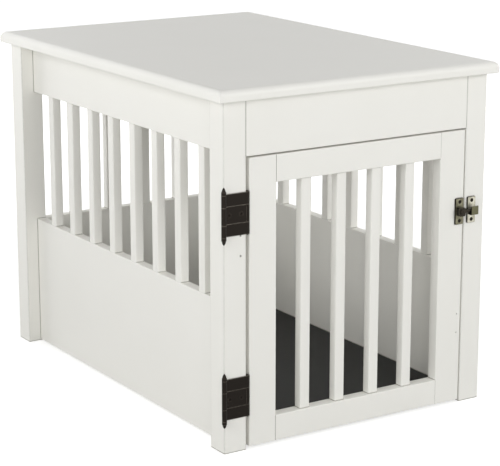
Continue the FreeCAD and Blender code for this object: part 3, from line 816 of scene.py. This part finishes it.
def corners_of(points):
    """The lowest and highest corner of some points, and the axis that they reach furthest on."""
    low = Vector([min(p[i] for p in points) for i in range(3)])
    high = Vector([max(p[i] for p in points) for i in range(3)])
    size = high - low
    return low, high, max(range(3), key=lambda i: size[i])


print("screws in the hinges' post leaves:", len(solids_of("hinge_post_screws")))

# %% [markdown]
# ## Screws
# The screws that show are countersunk cross-heads. One is turned on a lathe here: a profile spun
# about its axis, with ridges for the thread, and a tapered cross cut into its head by a boolean.
# Geometry Nodes then drive copies of it into every place where the CAD node has a screw, each with
# its cross at its own angle, because nobody lines up screws.

# %% Screws
screw_head = 3.0 * MM  # radius
screw_shank = 1.5 * MM  # radius, out to the thread's crests
screw_root = 0.72 * screw_shank
rim_width, rim_drop = 0.15 * MM, 0.12 * MM  # the small slope round the head
thread_pitch = 0.9 * MM
cross_reach = 1.9 * MM
cross_half_width = 0.45 * MM
cross_depth = 1.0 * MM
cross_taper = 0.55
screw_sides = 24
head_slice = 0.5 * MM  # how much of a CAD screw's end is looked at to tell its head from its tip
twist_seed = 11


def mesh_object(name, shape):
    """Turns a bmesh into a linked object."""
    mesh = bpy.data.meshes.new(name)
    shape.to_mesh(mesh)
    shape.free()
    made = bpy.data.objects.new(name, mesh)
    bpy.context.scene.collection.objects.link(made)
    return made


def cross_cutter():
    """Two crossed wedges, wide above the head and narrow at the bottom of the cross."""
    shape = bmesh.new()
    for reach, half in ((cross_reach, cross_half_width), (cross_half_width, cross_reach)):
        for point in bmesh.ops.create_cube(shape, size=2.0)["verts"]:
            narrow = cross_taper if point.co.z > 0 else 1.0
            depth = cross_depth if point.co.z > 0 else -cross_depth
            point.co = (point.co.x * reach * narrow, point.co.y * half * narrow, depth)
    return mesh_object("cross_cutter", shape)


def turned_screw(length):
    """A countersunk screw that points along +Z from the face of its head."""
    neck = screw_head - screw_shank
    profile = [(0.0, 0.0), (screw_head - rim_width, 0.0), (screw_head, rim_drop),
               (screw_shank, neck)]
    ridges = int((length - neck - 3 * screw_shank) / thread_pitch)
    for turn in range(ridges):
        depth = neck + screw_shank + turn * thread_pitch
        profile += [(screw_root, depth), (screw_shank, depth + thread_pitch / 2)]
    profile += [(screw_root, length - 2 * screw_shank), (0.0, length)]
    shape = bmesh.new()
    points = [shape.verts.new((radius, 0.0, depth)) for radius, depth in profile]
    edges = [shape.edges.new(pair) for pair in zip(points, points[1:])]
    bmesh.ops.spin(shape, geom=points + edges, cent=(0, 0, 0), axis=(0, 0, 1), dvec=(0, 0, 0),
                   angle=math.tau, steps=screw_sides)
    bmesh.ops.remove_doubles(shape, verts=shape.verts, dist=same_point)
    bmesh.ops.recalc_face_normals(shape, faces=shape.faces)
    screw = mesh_object("turned_screw", shape)
    cutter = cross_cutter()
    cut = screw.modifiers.new("cross", "BOOLEAN")
    cut.object, cut.operation, cut.use_self = cutter, "DIFFERENCE", True
    evaluated = screw.evaluated_get(bpy.context.evaluated_depsgraph_get())
    mesh = bpy.data.meshes.new_from_object(evaluated)
    screw.modifiers.clear()
    screw.data = mesh
    bpy.data.objects.remove(cutter)
    return screw


def screw_set():
    """The tree that puts a model screw on each point, aimed, and turned by a random angle."""
    tree, given = new_rule("screw_set", "Model", "Finish")
    model = add(tree, "GeometryNodeObjectInfo", {0: given["Model"], 1: True})
    aim = add(tree, "GeometryNodeInputNamedAttribute", {0: "aim"}, data_type="FLOAT_VECTOR")
    facing = add(tree, "FunctionNodeAlignRotationToVector", {2: aim.outputs[0]}, axis="Z")
    angle = add(tree, "FunctionNodeRandomValue", {2: 0.0, 3: math.pi / 2, 8: twist_seed},
                data_type="FLOAT")
    twist = add(tree, "FunctionNodeAxisAngleToRotation", {0: (0, 0, 1), 1: angle.outputs[1]})
    turned = add(tree, "FunctionNodeRotateRotation", {0: facing.outputs[0], 1: twist.outputs[0]},
                 rotation_space="LOCAL")
    screws = add(tree, "GeometryNodeInstanceOnPoints",
                 {0: given["Geometry"], 2: model.outputs["Geometry"], 5: turned.outputs[0]})
    close_rule(tree, screws.outputs[0], given["Finish"], crease=35)
    return tree


def screw_places(node):
    """The middle of each screw's head, the way it points, and the screws' length."""
    places = []
    for points in solids_of(node):
        low, high, axis = corners_of(points)
        middle = (low + high) / 2
        near_low = [p for p in points if p[axis] < low[axis] + head_slice]
        spread = max(max(abs(p[i] - middle[i]) for i in range(3) if i != axis) for p in near_low)
        head_first = spread > screw_shank
        head, aim = middle.copy(), Vector((0, 0, 0))
        head[axis] = low[axis] if head_first else high[axis]
        aim[axis] = 1.0 if head_first else -1.0
        places.append((head, aim, high[axis] - low[axis]))
    return places


def drive_screws(name, node, body, finish):
    """Screws in every place where a CAD node has one."""
    places = screw_places(node)
    points = bpy.data.meshes.new(name + "_places")
    points.from_pydata([head for head, aim, length in places], [], [])
    aims = points.attributes.new("aim", "FLOAT_VECTOR", "POINT")
    aims.data.foreach_set("vector", [v for head, aim, length in places for v in aim])
    model = turned_screw(places[0][2])
    screws = grow(name, screw_tree, {"Model": model, "Finish": finish}, points)
    bpy.data.objects.remove(model)
    return fit(screws, body, node)


screw_tree = screw_set()
drive_screws("screws_in_hinge_post_leaves", "hinge_post_screws", "frame", blackened_steel)
drive_screws("screws_in_hinge_door_leaves", "hinge_door_screws", "door", blackened_steel)
drive_screws("screws_in_latch_plate", "latch_plate_screws", "door", blackened_steel)
drive_screws("screws_in_keeper", "latch_keeper_screws", "frame", blackened_steel)

# %% [markdown]
# ## Dress the boards and fittings
# Everything else keeps its CAD shape and gets its finish. A board's grain runs along its longest
# side, so the painted pine and the bare wood pick one of three finishes by that. The lower panels
# are fibreboard, which has no grain. On the latch, the plates were relieved after they were
# darkened, and the lever and its stud were not.


# %% Dress the boards and fittings
def finish_of(node, slot):
    """The finish of a CAD node, from its material slot and its shape."""
    if slot == "white_paint" and "lower_panel" in node:
        return enamel_on_fibreboard
    if slot == "white_paint" and node.endswith("_post"):
        return enamel_on_posts
    if slot in ("white_paint", "bare_wood"):
        woods = enamel_on_pine if slot == "white_paint" else raw_wood
        return woods[corners_of(solids_of(node)[0])[2]]
    if node in ("latch_lever", "latch_stud"):
        return oxidised_brass
    return {"floor_board": charcoal, "dark_bronze": hinge_bronze, "zinc_screw": zinc,
            "antique_brass": keeper_brass if node == "latch_keeper" else plate_brass}[slot]


dressed = 0
for node, shown in sorted(nodes.items()):
    if shown.hide_render:
        continue
    for place in shown.material_slots:
        place.material = finish_of(node, place.material.name)
        dressed += 1
print("CAD nodes dressed:", dressed)
